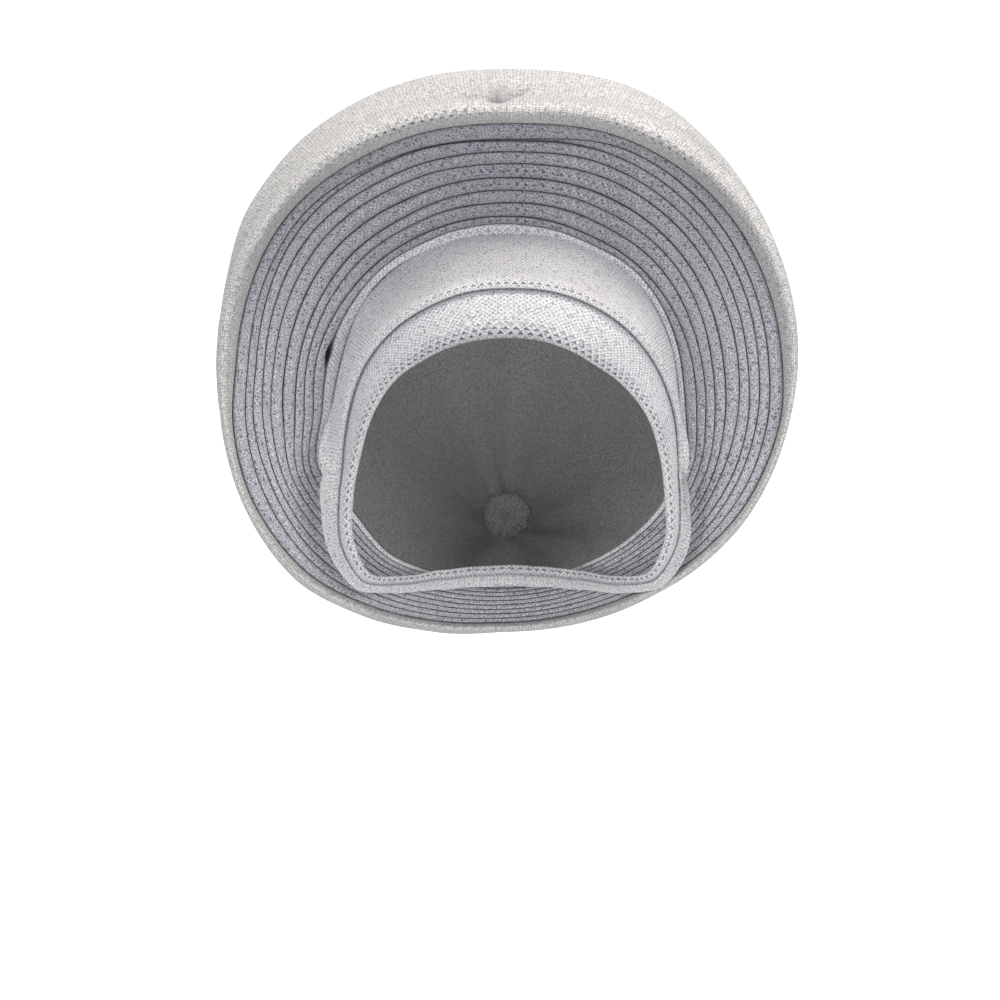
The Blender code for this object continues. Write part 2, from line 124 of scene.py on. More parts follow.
# Which way the lining lies from the outer face in the first rows: in radius and in depth.
ROLL_LINING = ((1, 0), (0.95, 0.3), (0.85, 0.5), (0.3, 0.95), (-0.45, 0.9), (-0.97, 0.25), (-1, 0.1))
BACK_FOLDS = 8
BACK_FOLD_HEIGHT = 2.2

# The two bands round the face, about a centre of their own. Reach is the radius from that centre.
BAND_CENTRE = (1.0, -40.0)
BAND_CLOCK = (0, 15, 30, 45, 60, 75, 90, 105, 120, 130, 140, 150, 165)
BAND_ROWS = (
    # name, -X side from the top, nape, +X side from 15 degrees
    ("edge", (46.9, 47.8, 49.9, 53.0, 58.0, 61.8, 65.6, 71.8, 79.6, 81.6, 71, 60.5, 52.5), 50.0,
     (47.3, 48.4, 50.4, 55.3, 60.9, 65.4, 70.7, 78.8, 80.6, 71, 60.5, 52.5)),
    ("seam", (65.3, 66.1, 67.1, 68.7, 69.7, 69.5, 71.0, 76.5, 83.4, 85.2, 75, 64.5, 56.5), 54.0,
     (66.2, 67.4, 68.8, 69.8, 70.5, 71.4, 75.5, 82.4, 84.0, 75, 64.5, 56.5)),
    ("outer", (91.1, 89.8, 87.9, 85.4, 83.2, 81.8, 82.4, 84.2, 87.6, 89.0, 79.5, 69.5, 61.5), 59.0,
     (90.1, 88.9, 86.9, 81.7, 76.8, 75.2, 78.0, 85.9, 87.6, 79.5, 69.5, 61.5)),
)
BAND_DEPTHS = (
    ("edge_y", (-95, -94, -90, -81, -68, -55, -41, -30, -18, -6, 22, 41, 54), 58),
    ("seam_y", (-87, -86, -81, -71, -57, -42, -28, -20, -11, 0, 25, 43, 55), 59),
    ("outer_y", (-59, -59, -57, -51, -42, -27, -16, -11, -4, 4, 28, 45, 56), 60),
)
FRONT_BAND_WALL = 3.2
FOREHEAD_BAND_WALL = 3.1
# How far the front band's hem runs in under the forehead band.
BAND_TUCK = 5.0
# How far in front of the fan each line of the bands stays, low at the sides and at the nape.
BAND_AHEAD = {"edge": 6.5, "seam": 5.5, "outer": 4.5}
# The grid's rows between the control points of each band's section.
FRONT_BAND_PARTS = (5, 8, 8, 4, 3, 4, 4, 4, 3)
FOREHEAD_BAND_PARTS = (5, 8, 9, 8, 4, 3, 3, 4, 4, 3, 3, 4)

# What is marked on the cloth's points: open holes, ribs, painted shade and painted glints of sparkling
# stitches.
MARKS = ("open", "ribs", "sunk_and_painted_shade", "painted_glints")

# The knit: pitch of the open holes on the crown, the pleats and the bands, of the crosswise ribs and of
# the slanting threads.
CROWN_PITCH = 4.3
KNIT_PITCH = 3.7
BAND_PITCH = 4.1
RIB_PITCH = 1.65
THREAD_PITCH = 1.15
# Knots in a thousand pitches of the open holes, along the cloth and across it.
KNOTS_ALONG, KNOTS_ACROSS = 2450.0, 3150.0
# Stitches in a metre of cloth; some carry a painted glint, some a dark speck of the grain.
STITCHES = 820.0
HOLE_COLOUR = (0.04, 0.04, 0.06)
# The colour of painted shade, then that of painted glints.
PAINTED_SHADE_COLOUR = (0.05, 0.05, 0.075)
PAINTED_GLINT_COLOUR = (1.0, 1.0, 1.0)


# Curves round the ring.

def ring_curve(marks):
    """Returns a smooth function round the ring from (clock, value) marks, with no overshoot."""
    marks = sorted(marks)
    clock = np.array([m[0] for m in marks], float)
    value = np.array([m[1] for m in marks], float)
    ahead = np.append(clock[1:], clock[0] + 360.0)
    step = ahead - clock
    rise = (np.append(value[1:], value[0]) - value) / step
    before, step_before = np.roll(rise, 1), np.roll(step, 1)
    same_way = before * rise > 0
    slope = np.zeros_like(rise)
    mean = (before * rise * (step + step_before))[same_way]
    slope[same_way] = mean / (step * before + step_before * rise)[same_way]

    def at(angle):
        angle = (np.asarray(angle, float) - clock[0]) % 360.0 + clock[0]
        i = np.clip(np.searchsorted(clock, angle, side="right") - 1, 0, len(clock) - 1)
        j = (i + 1) % len(clock)
        t = (angle - clock[i]) / step[i]
        a = value[i] * (1 + 2 * t) * (1 - t) ** 2 + value[j] * t * t * (3 - 2 * t)
        b = step[i] * (slope[i] * t * (1 - t) ** 2 - slope[j] * t * t * (1 - t))
        return a + b

    return at


def side_curve(clock, top, minus_x, nape, plus_x):
    """A curve round the ring from its values at the top, down the two sides and at the nape."""
    marks = [(0.0, top), (180.0, nape)]
    marks += [(-c, v) for c, v in zip(clock, minus_x)]
    marks += [(c, v) for c, v in zip(clock, plus_x)]
    return ring_curve(marks)


def even_curve(clock, values):
    """A curve that is the same down both sides."""
    both = dict(zip(clock, values))
    inner = [c for c in clock if c not in (0, 180)]
    sides = [both[c] for c in inner]
    return side_curve(inner, both[0], sides, both[180], sides)


def smooth_step(t):
    t = np.clip(t, 0.0, 1.0)
    return t * t * (3.0 - 2.0 * t)


def bell(x, width):
    return np.exp(-((x / width) ** 2))


def off_clock(angle, centre):
    """Signed distance in degrees from a clock position."""
    return (angle - centre + 180.0) % 360.0 - 180.0


def from_top(angle):
    """Degrees from the top, the same to both sides."""
    return np.abs(off_clock(angle, 0.0))


def near(angle, centre, spread):
    """A bell round the ring about a clock position."""
    return bell(off_clock(angle, centre), spread)


def beside(angle, start, end, fade=8.0):
    """1 between two clock positions, falling to 0 outside them."""
    return smooth_step((angle - start) / fade) * smooth_step((end - angle) / fade)


def uneven(angle, seed, waves=(3, 5, 8, 13)):
    """A gentle wander round the ring between about -1 and 1, the same on every run."""
    total = 0.0 * angle
    for k, wave in enumerate(waves):
        phase = 2.399 * (seed + 1) * (k + 1) + 0.7 * seed
        total = total + np.sin(np.radians(wave * angle) + phase) / (1.0 + 0.5 * k)
    return total / 2.2


FAN = {name: even_curve(FAN_CLOCK, values) for name, values in FAN_ROWS}
LINES = [side_curve(FOLD_CLOCK, *row) for row in FOLD_LINES]
ROLL = {row[0]: side_curve(ROLL_CLOCK, *row[1:]) for row in ROLL_ROWS}
ROLL.update({name: even_curve(FAN_CLOCK, values) for name, values in ROLL_DEPTHS})
BAND = {
    name: side_curve(BAND_CLOCK[1:], minus_x[0], minus_x[1:], nape, plus_x)
    for name, minus_x, nape, plus_x in BAND_ROWS
}
BAND.update(
    {
        name: side_curve(BAND_CLOCK[1:], values[0], values[1:], nape, values[1:])
        for name, values, nape in BAND_DEPTHS
    }
)


def share_out(n, angle):
    """How far out line n lies in the fan: 0 for the innermost line and 1 for the outermost."""
    inner, outer = LINES[-1](angle), LINES[0](angle)
    return np.clip((LINES[n](angle) - inner) / (outer - inner), 0.0, 1.0)


def line_depth(n, angle):
    """The Y of the folds' front edges at line n."""
    inner, outer = FAN["inner_y"](angle), FAN["outer_y"](angle)
    return inner + (outer - inner) * share_out(n, angle) ** 1.2


def line_lean(n, angle):
    """How fast the folds at line n lean outward on their way back."""
    lean = FAN["inner_lean"](angle)
    lean = lean + (FAN["outer_lean"](angle) - lean) * share_out(n, angle)
    return np.tan(np.radians(lean))


def line_radius(n, angle):
    """A groove's radius with the slight wander of hand-laid folds."""
    wander = 0.22 * uneven(angle, n) * (1.0 if 0 < n < LAST_LINE else 0.3)
    return LINES[n](angle) + wander * smooth_step((170.0 - from_top(angle)) / 40.0)


def from_clock(angle, radius, depth):
    a = np.radians(angle)
    return np.stack([radius * np.sin(a), depth + 0.0 * radius, radius * np.cos(a)], axis=-1)


def ring_angles(start=0.0):
    return start + 360.0 / STATIONS * np.arange(STATIONS)


# Meshes.

def smooth_rows(rows, parts, closed=False):
    """Runs a rounded curve through control points, given as (stations, points, 3).

    parts says into how many rows the stretch after each control point is divided."""
    count = rows.shape[1]

    def pick(k):
        return rows[:, k % count if closed else min(max(k, 0), count - 1)]

    out = []
    for k in range(count if closed else count - 1):
        p0, p1, p2, p3 = pick(k - 1), pick(k), pick(k + 1), pick(k + 2)
        d0, d1, d2 = [np.sqrt(np.linalg.norm(step, axis=1, keepdims=True)) + 1e-6
                      for step in (p1 - p0, p2 - p1, p3 - p2)]
        d0 = np.where(d0 < 1e-3, d1, d0)
        d2 = np.where(d2 < 1e-3, d1, d2)
        m1 = (p1 - p0) / d0 - (p2 - p0) / (d0 + d1) + (p2 - p1) / d1
        m2 = (p2 - p1) / d1 - (p3 - p1) / (d1 + d2) + (p3 - p2) / d2
        m1, m2 = m1 * d1, m2 * d1
        for i in range(parts[k]):
            t = i / parts[k]
            a, b = 2 * t**3 - 3 * t**2 + 1, t**3 - 2 * t**2 + t
            c, d = -2 * t**3 + 3 * t**2, t**3 - t**2
            out.append(a * p1 + b * m1 + c * p2 + d * m2)
    if not closed:
        out.append(rows[:, -1])
    return np.stack(out, axis=1)


def grid_normals(grid):
    along = np.roll(grid, -1, axis=0) - np.roll(grid, 1, axis=0)
    across = np.gradient(grid, axis=1)
    normal = np.cross(across, along)
    return normal / (np.linalg.norm(normal, axis=2, keepdims=True) + 1e-12)


def along_ring(line, pitch):
    """Distance along a closed line at each station and back at the start, fitted to whole pitches."""
    step = np.linalg.norm(np.roll(line, -1, axis=0) - line, axis=1)
    run = np.concatenate([[0.0], np.cumsum(step)])
    return run * (round(run[-1] / pitch) * pitch / run[-1])


def across_rows(grid, middle):
    """Distance along each station's section, measured from row `middle`."""
    step = np.linalg.norm(np.diff(grid, axis=1), axis=2)
    run = np.concatenate([np.zeros((grid.shape[0], 1)), np.cumsum(step, axis=1)], axis=1)
    return run - run[:, middle : middle + 1]


def add_object(name, data):
    made = bpy.data.objects.new(name, data)
    bpy.context.scene.collection.objects.link(made)
    return made


def new_material(name):
    material = bpy.data.materials.new(name)
    material.use_nodes = True
    return material, material.node_tree, material.node_tree.nodes["Principled BSDF"]


def make_mesh(name, points, faces, corner_uv, marks, material):
    """Builds an object from points in millimetres. marks holds named numbers for each point, or none."""
    mesh = bpy.data.meshes.new(name)
    faces = np.asarray(faces, dtype=np.int32)
    sides = faces.shape[1]
    mesh.vertices.add(len(points))
    mesh.vertices.foreach_set("co", (points * MM).astype(np.float32).ravel())
    mesh.loops.add(faces.size)
    mesh.loops.foreach_set("vertex_index", faces.ravel())
    mesh.polygons.add(len(faces))
    mesh.polygons.foreach_set("loop_start", np.arange(0, faces.size, sides, dtype=np.int32))
    mesh.update(calc_edges=True)
    layer = mesh.uv_layers.new(name="cloth")
    layer.data.foreach_set("uv", (corner_uv * MM).astype(np.float32).ravel())
    for key in MARKS:
        field = mesh.attributes.new(key, "FLOAT", "POINT")
        values = np.asarray(marks.get(key, np.zeros(len(points))), dtype=np.float32)
        field.data.foreach_set("value", values.ravel())
    mesh.polygons.foreach_set("use_smooth", np.ones(len(faces), dtype=bool))
    mesh.materials.append(material)
    mesh.validate(clean_customdata=False)
    return add_object(name, mesh)


def grid_faces(count, length, closed, start=0):
    """Corner indices of a ring of stations, and each corner's station and row for its UV."""
    i, k = np.meshgrid(np.arange(count), np.arange(length if closed else length - 1), indexing="ij")
    j, m = i + 1, k + 1
    corners = np.stack([np.stack(pair, -1) for pair in ((i, k), (j, k), (j, m), (i, m))], -2)
    corners = corners.reshape(-1, 4, 2)
    index = (corners[..., 0] % count) * length + corners[..., 1] % length + start
    return index, corners


def place_uv(u, v, corners):
    """Each corner's place on the cloth, from u of its station and v of its station and row."""
    v = np.concatenate([v, v[:1]], axis=0)
    return np.stack([u[corners[..., 0]], v[corners[..., 0], corners[..., 1]]], axis=-1)


def cloth_ring(name, grid, material, marks, middle=0, closed=False, pitch=KNIT_PITCH, uv_line=None):
    """A ring of cloth from a grid of (stations, rows, 3), with its UV in millimetres of cloth."""
    count, length = grid.shape[:2]
    index, corners = grid_faces(count, length, closed)
    line = grid[:, middle] if uv_line is None else uv_line
    u = along_ring(line, pitch)
    v = across_rows(grid, middle)
    if closed:
        last = np.linalg.norm(grid[:, 0] - grid[:, -1], axis=1, keepdims=True)
        v = np.concatenate([v, v[:, -1:] + last], axis=1)
    return make_mesh(name, grid.reshape(-1, 3), index, place_uv(u, v, corners), marks, material)


def thicken(piece, thickness):
    """Gives an open sheet its thickness, inward from the face that shows."""
    solid = piece.modifiers.new("thickness", "SOLIDIFY")
    solid.thickness = thickness * MM
    solid.offset = -1.0
    solid.use_even_offset = False


# The knit's material.

def add_node(tree, kind, inputs, **settings):
    """A new shader node, with its inputs set to numbers or joined to other nodes' outputs."""
    node = tree.nodes.new("ShaderNode" + kind)
    for key, value in settings.items():
        setattr(node, key, value)
    for key, value in inputs.items():
        if isinstance(value, bpy.types.NodeSocket):
            tree.links.new(value, node.inputs[key])
        else:
            node.inputs[key].default_value = value
    return node


def calc(tree, operation, a, b=0.0, c=0.0, clamp=False):
    return add_node(tree, "Math", {0: a, 1: b, 2: c}, operation=operation, use_clamp=clamp).outputs[0]


def multiply(tree, a, b, clamp=False):
    return calc(tree, "MULTIPLY", a, b, clamp=clamp)


def ramp(tree, value, low, high, start=0.0, end=1.0):
    """A smooth change from start to end as value goes from low to high."""
    inputs = {"Value": value, "From Min": low, "From Max": high, "To Min": start, "To Max": end}
    return add_node(tree, "MapRange", inputs, interpolation_type="SMOOTHSTEP").outputs["Result"]


def blend_colour(tree, share, a, b):
    a, b = [c if isinstance(c, bpy.types.NodeSocket) else (*c, 1.0) for c in (a, b)]
    return add_node(tree, "Mix", {0: share, 6: a, 7: b}, data_type="RGBA").outputs[2]


def noise(tree, vector, scale, detail=1.0):
    inputs = {"Vector": vector, "Scale": scale, "Detail": detail}
    return add_node(tree, "TexNoise", inputs).outputs["Fac"]


def mark(tree, name):
    return add_node(tree, "Attribute", {}, attribute_name=name).outputs["Fac"]


def waves(tree, value, pitch):
    """A sine along value, with one wave in each pitch of millimetres."""
    return calc(tree, "SINE", multiply(tree, value, 2.0 * math.pi / (pitch * MM)))


def lattice(tree, u, v, pitch, shift=0.0):
    """Staggered bumps: 1 on a bump's top, -1 in the hollow between."""
    turn = 2.0 * math.pi / (pitch * MM)
    a = calc(tree, "COSINE", multiply(tree, u, turn))
    b = calc(tree, "COSINE", calc(tree, "MULTIPLY_ADD", v, turn, shift))
    return multiply(tree, a, b)


def knit_place(tree):
    """The cloth's own coordinates in metres, and the same along and across with the stitches' wander."""
    cloth = add_node(tree, "UVMap", {}, uv_map="cloth").outputs["UV"]
    split = add_node(tree, "SeparateXYZ", {0: cloth})
    wander = calc(tree, "MULTIPLY_ADD", noise(tree, cloth, 110.0), 0.0011, -0.00055)
    u = calc(tree, "ADD", split.outputs["X"], wander)
    v = calc(tree, "SUBTRACT", split.outputs["Y"], wander)
    return cloth, u, v


def knit_knots(tree, u, v, pitch, fineness):
    """One cell for each knot of the knit."""
    moved = add_node(tree, "CombineXYZ", {0: u, 1: v}).outputs[0]
    scale = (KNOTS_ALONG * fineness / pitch, KNOTS_ACROSS * fineness / pitch, 0.0)
    stretch = add_node(tree, "VectorMath", {0: moved, 1: scale}, operation="MULTIPLY").outputs[0]
    return add_node(tree, "TexVoronoi", {"Vector": stretch, "Scale": 1.0, "Randomness": 0.45})


def knit_dents(tree, cloth, u, v, knots, pitch, beads):
    """How far the cloth sinks between its knots and dots, uneven, and less where it is ribbed. It sets the
    bump, and how far the colour is darkened there as painted shade.
    """
    gaps = ramp(tree, knots.outputs["Distance"], 0.34, 0.66)
    dots = ramp(tree, lattice(tree, u, v, pitch / 2), -0.10, -0.80)
    gaps, dots = multiply(tree, gaps, beads), multiply(tree, dots, 1.0 - beads)
    patchy = ramp(tree, noise(tree, cloth, 420.0), 0.30, 0.62, 0.60, 1.0)
    plain = calc(tree, "MULTIPLY_ADD", mark(tree, "ribs"), -0.75, 1.0)
    return multiply(tree, multiply(tree, calc(tree, "ADD", gaps, dots), patchy), plain)


def knit_holes(tree, u, v, pitch):
    """The open holes, each with a loop of yarn across its lower half."""
    holes = lattice(tree, u, v, pitch)
    lower = lattice(tree, u, v, pitch, 0.95)
    hook = multiply(tree, ramp(tree, holes, 0.25, 0.55), ramp(tree, lower, 0.85, 0.45))
    return multiply(tree, hook, mark(tree, "open"), clamp=True)


def knit_stitches(tree, cloth):
    """One cell for each stitch, with its three random numbers."""
    cell = add_node(tree, "TexVoronoi", {"Vector": cloth, "Scale": STITCHES})
    dice = add_node(tree, "SeparateColor", {0: cell.outputs["Color"]})
    return cell.outputs["Distance"], dice.outputs


def knit_painted_glints(tree, cloth, u, v, pitch, sparkle, stitch, dice):
    """Where painted glints of sparkling yarn go: on a share of all stitches, and in rows where the cloth's
    mark for them says so.
    """
    painted_glint = multiply(tree, ramp(tree, dice[0], 1.0 - sparkle, 1.0 - sparkle + 0.01),
                 ramp(tree, stitch, 0.46, 0.26))
    painted_glint = multiply(tree, painted_glint, ramp(tree, noise(tree, cloth, 26.0), 0.42, 0.62, 0.15, 1.0))
    spots = ramp(tree, lattice(tree, u, v, pitch * 0.6), 0.10, 0.50)
    spots = multiply(tree, spots, mark(tree, "painted_glints"))
    patchy = ramp(tree, noise(tree, cloth, 300.0), 0.44, 0.54)
    return calc(tree, "MAXIMUM", painted_glint, multiply(tree, spots, patchy, clamp=True))


def knit_tone(tree, cloth, knots, fibre, beads, grit):
    """The cloth's uneven lightness: soft clouds, the yarn's grain and a tone for each knot."""
    soft = calc(tree, "MULTIPLY_ADD", noise(tree, cloth, 24.0, 2.0), 0.12, 0.94)
    grain = calc(tree, "MULTIPLY_ADD", fibre, 0.50, 0.75)
    blotches = calc(tree, "MULTIPLY_ADD", noise(tree, cloth, 1300.0), grit, 1.0 - 0.5 * grit)
    grain = multiply(tree, grain, blotches)
    each = add_node(tree, "SeparateColor", {0: knots.outputs["Color"]})
    tone = calc(tree, "MULTIPLY_ADD", each.outputs[0], 0.10 * beads, 1.0 - 0.05 * beads)
    return multiply(tree, multiply(tree, soft, grain), tone)


def knit_material(name, light, painted_shade_and_grain, pitch, beads, depth, sparkle, grit, fineness=1.0):
    """White mesh knit. pitch is the open holes' spacing, beads the share of knots over dots.

    depth is how far the dents are darkened, a painted shade, sparkle the share of stitches with painted
    glints, grit the strength of the grain and fineness how small the knots are."""
    material, tree, shader = new_material(name)
    cloth, u, v = knit_place(tree)
    knots = knit_knots(tree, u, v, pitch, fineness)
    dents = knit_dents(tree, cloth, u, v, knots, pitch, beads)
    hook = knit_holes(tree, u, v, pitch)
    thread = waves(tree, calc(tree, "ADD", multiply(tree, u, 0.8), v), THREAD_PITCH)
    ribs = multiply(tree, waves(tree, u, RIB_PITCH), mark(tree, "ribs"))
    fibre = noise(tree, cloth, 2300.0)
    stitch, dice = knit_stitches(tree, cloth)
    painted_glint = knit_painted_glints(tree, cloth, u, v, pitch, sparkle, stitch, dice)
    specks = multiply(tree, ramp(tree, dice[1], 0.74, 0.80), ramp(tree, stitch, 0.60, 0.25))

    # The darker colour is painted shade in the dents, the gaps between threads and the ribs' grooves, and
    # the colour of the grain's dark specks.
    colour = light
    for share, strength, other in (
        (dents, depth, painted_shade_and_grain), (ramp(tree, thread, 0.3, -1.0), 0.20, painted_shade_and_grain), (specks, 0.65 * grit, painted_shade_and_grain),
        (ramp(tree, ribs, 0.1, 1.0), 0.36, painted_shade_and_grain), (hook, 0.95, HOLE_COLOUR),
    ):
        colour = blend_colour(tree, multiply(tree, share, strength), colour, other)
    tone = knit_tone(tree, cloth, knots, fibre, beads, grit)
    shade = add_node(tree, "VectorMath", {0: colour, "Scale": tone}, operation="SCALE")
    # Painted glints of sparkling yarn, then the marked painted shade over them.
    colour = blend_colour(tree, painted_glint, shade.outputs[0], PAINTED_GLINT_COLOUR)
    colour = blend_colour(tree, mark(tree, "sunk_and_painted_shade"), colour, PAINTED_SHADE_COLOUR)
    tree.links.new(colour, shader.inputs["Base Color"])
    tree.links.new(calc(tree, "MULTIPLY_ADD", painted_glint, -0.6, 0.80), shader.inputs["Roughness"])

    height = multiply(tree, dents, -0.7)
    for part, rise in ((thread, 0.05), (fibre, 0.25), (hook, -0.9), (ribs, -0.40)):
        height = calc(tree, "MULTIPLY_ADD", part, rise, height)
    relief = add_node(tree, "Bump", {"Strength": 0.9, "Distance": 0.5 * MM, "Height": height})
    tree.links.new(relief.outputs["Normal"], shader.inputs["Normal"])
    shader.inputs["Sheen Weight"].default_value = 0.2
    shader.inputs["Sheen Roughness"].default_value = 0.4
    shader.inputs["Specular IOR Level"].default_value = 0.3
    return material


# How dark the painted shade in each groove between two folds is: at the -X side, at the top and at the +X
# side.
FOLD_SHADES = (
    (0.55, 0.30, 0.50), (0.35, 0.90, 0.75), (0.88, 0.85, 0.80), (0.65, 0.85, 0.60), (0.45, 0.85, 0.75),
    (0.80, 0.80, 0.88), (0.60, 0.80, 0.60), (0.55, 0.85, 0.50), (0.50, 0.90, 0.45), (0.30, 0.20, 0.65),
    (0.75, 0.20, 0.25),
)
# Where each fold's row of holes shows: clock of its middle, spread in degrees, and how open.
FOLD_HOLES = (
    (25, 28, 0.5), (-22, 26, 0.8), (30, 40, 0.6), (45, 30, 0.5), (6, 30, 1.0),
    (10, 34, 0.9), (40, 30, 0.6), (-10, 60, 0.5), (5, 40, 0.8), (0, 60, 0.4),
)

# How far the painted shade of the grooves beside the strip reaches over the cloth.
GROOVE_SHADE = 0.9
# The small open gap beside the strip at the -X side.
GAP_CLOCK, GAP_SPREAD, GAP_WIDTH = -88.0, 3.4, 2.6
# How many painted glints of sparkling stitches each fold shows along its front edge.
FOLD_GLINTS = (0.15, 0.2, 0.6, 1.0, 1.0, 0.9, 0.9, 0.8, 0.6, 0.4)
# A fold's section has rows down each leg, as shares of its depth, and an odd number round its front edge.
LEG_STEPS = (1.0, 0.72, 0.46, 0.24, 0.08)
NOSE_ROWS = 15
# How square that edge is: 2 is round.
NOSE_POWER = 2.6
FOLD_CLOTH, GATHER_CLOTH = 0.9, 0.8


def fold_grid(n, angle, recess, nose_share=0.40, lean_back=0.0):
    """A folded layer between line n and line n + 1, as one sheet: in, round the front edge and out.

    recess is how far the fold sinks, nose_share the depth of its rounded edge over its breadth, and
    lean_back how much its outer side stands back."""
    a = angle[:, None]
    outer = line_radius(n, a) - LAYER_GAP / 2
    inner = line_radius(n + 1, a) + LAYER_GAP / 2
    gap = GAP_WIDTH * near(a, GAP_CLOCK, GAP_SPREAD)
    outer = outer - gap * (0.4 if n == STRIP else 0.0)
    inner = inner + gap * (0.6 if n == STRIP - 1 else 0.0)
    half, middle = (outer - inner) / 2, (outer + inner) / 2
    depth_in, depth_out = line_depth(n + 1, a), line_depth(n, a)
    lean_in, lean_out = line_lean(n + 1, a), line_lean(n, a)
    forward = 0.35 * uneven(a, n + 20, (2, 5, 9, 15)) + recess[:, None]
    nose = nose_share * 2 * half
    deep = FAN["layer_depth"](a) - 0.3

    turn = np.radians(np.linspace(-90.0, 90.0, NOSE_ROWS))[None, :]
    t = np.sin(turn)
    front = 1.0 - (1.0 - np.abs(t) ** NOSE_POWER) ** (1.0 / NOSE_POWER)
    share = (t + 1.0) / 2.0
    lean = lean_in + (lean_out - lean_in) * share
    depth = depth_in + (depth_out - depth_in) * share + forward + nose * front + lean_back * share * 2 * half
    radius = middle + half * t + lean * (forward + nose * front)
    nose_points = from_clock(a + 0.0 * t, radius, depth)

    legs = np.array(LEG_STEPS)[None, :]
    start_in = forward + nose
    s_in = start_in + (deep - start_in) * legs
    leg_in = from_clock(a + 0.0 * legs, inner + lean_in * s_in, depth_in + s_in)
    s_out = start_in + (deep - start_in) * legs[:, ::-1]
    leg_out = from_clock(a + 0.0 * legs, outer + lean_out * s_out, depth_out + s_out)
    return np.concatenate([leg_in, nose_points, leg_out], axis=1)


def groove_painted_shade(n, angle):
    """How dark the painted shade of groove n is round the ring, from its values at the -X side, the top and
    the +X side.
    """
    minus_x, top, plus_x = FOLD_SHADES[n]
    side = np.where(off_clock(angle, 0.0) < 0.0, minus_x, plus_x)
    return side + (top - side) * near(angle, 0.0, 48.0)


def fold_marks(grid, angle, n):
    """One row of open holes along the front edge, painted shade where the cloth turns in and over the top of
    the fan, and painted glints in rows of sparkling stitches.
    """
    rows = grid.shape[1]
    t = (np.arange(rows) - (rows - 1) / 2) / (NOSE_ROWS // 2)
    centre, spread, share = FOLD_HOLES[n]
    top = share * near(angle, centre, spread)
    turned = np.where(np.abs(t) < 1.0, np.abs(np.sin(np.radians(90.0 * t))), 1.0)
    # Painted shade where the cloth turns into the grooves.
    sunk_and_painted_shade = smooth_step((turned - 0.88) / 0.12)[None, :]
    outer, inner = groove_painted_shade(n, angle)[:, None], groove_painted_shade(n + 1, angle)[:, None]
    # Painted shade by clock: over the top of the fan under the roll, and in patches down the sides.
    if n == STRIP:
        painted_shade = 0.16 * near(angle, -88.0, 24.0) + 0.21 * near(angle, 0.0, 55.0)
    else:
        painted_shade = 0.44 * near(angle, 0.0, 72.0)
        painted_shade = painted_shade + 0.09 * near(angle, -50.0, 24.0)
        painted_shade = painted_shade + 0.06 * near(angle, 48.0, 24.0)
    if n == SUNK_PLEAT:
        painted_shade = painted_shade + 0.10 * near(angle, -70.0, 36.0)
    sunk_and_painted_shade = sunk_and_painted_shade * np.where(t[None, :] > 0.0, outer, inner)
    # Painted shade spread from the grooves over the cloth beside the strip.
    if n >= STRIP - 1:
        run, first = across_rows(grid, rows // 2), len(LEG_STEPS)
        near_inner = smooth_step(1.0 - (run - run[:, first : first + 1]) / GROOVE_SHADE) * inner
        near_outer = smooth_step(1.0 - (run[:, -first - 1 : -first] - run) / GROOVE_SHADE) * outer
        sunk_and_painted_shade = np.maximum(sunk_and_painted_shade, np.maximum(near_inner, near_outer if n == STRIP else 0.0))
    sunk_and_painted_shade = np.maximum(sunk_and_painted_shade, painted_shade[:, None])
    # Painted glints in rows of sparkling stitches along the front edge.
    shine = near(angle, -40.0, 20.0) + near(angle, 20.0, 17.0)
    painted_glints = 1.2 * FOLD_GLINTS[n] * shine[:, None] * bell(t - 0.1, 0.34)[None, :]
    holes = top[:, None] * bell(t, 0.34)[None, :]
    return {"open": holes, "sunk_and_painted_shade": sunk_and_painted_shade, "painted_glints": painted_glints}


def add_fold(name, n, material, recess, node, **shape):
    angle = ring_angles()
    grid = fold_grid(n, angle, recess(angle), **shape)
    middle = grid.shape[1] // 2
    piece = cloth_ring(name, grid, material, fold_marks(grid, angle, n), middle=middle)
    thicken(piece, FOLD_CLOTH)
    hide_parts(node)
    return piece


def back_wave(angle, degrees):
    """The gathers at the back: 1 on a fold's top and -1 between two, twisting a little as they close."""
    bend = angle + 9.0 * np.sin(np.radians(2.0 * angle + 40.0)) + 0.12 * degrees
    return np.cos(np.radians(BACK_FOLDS * bend))


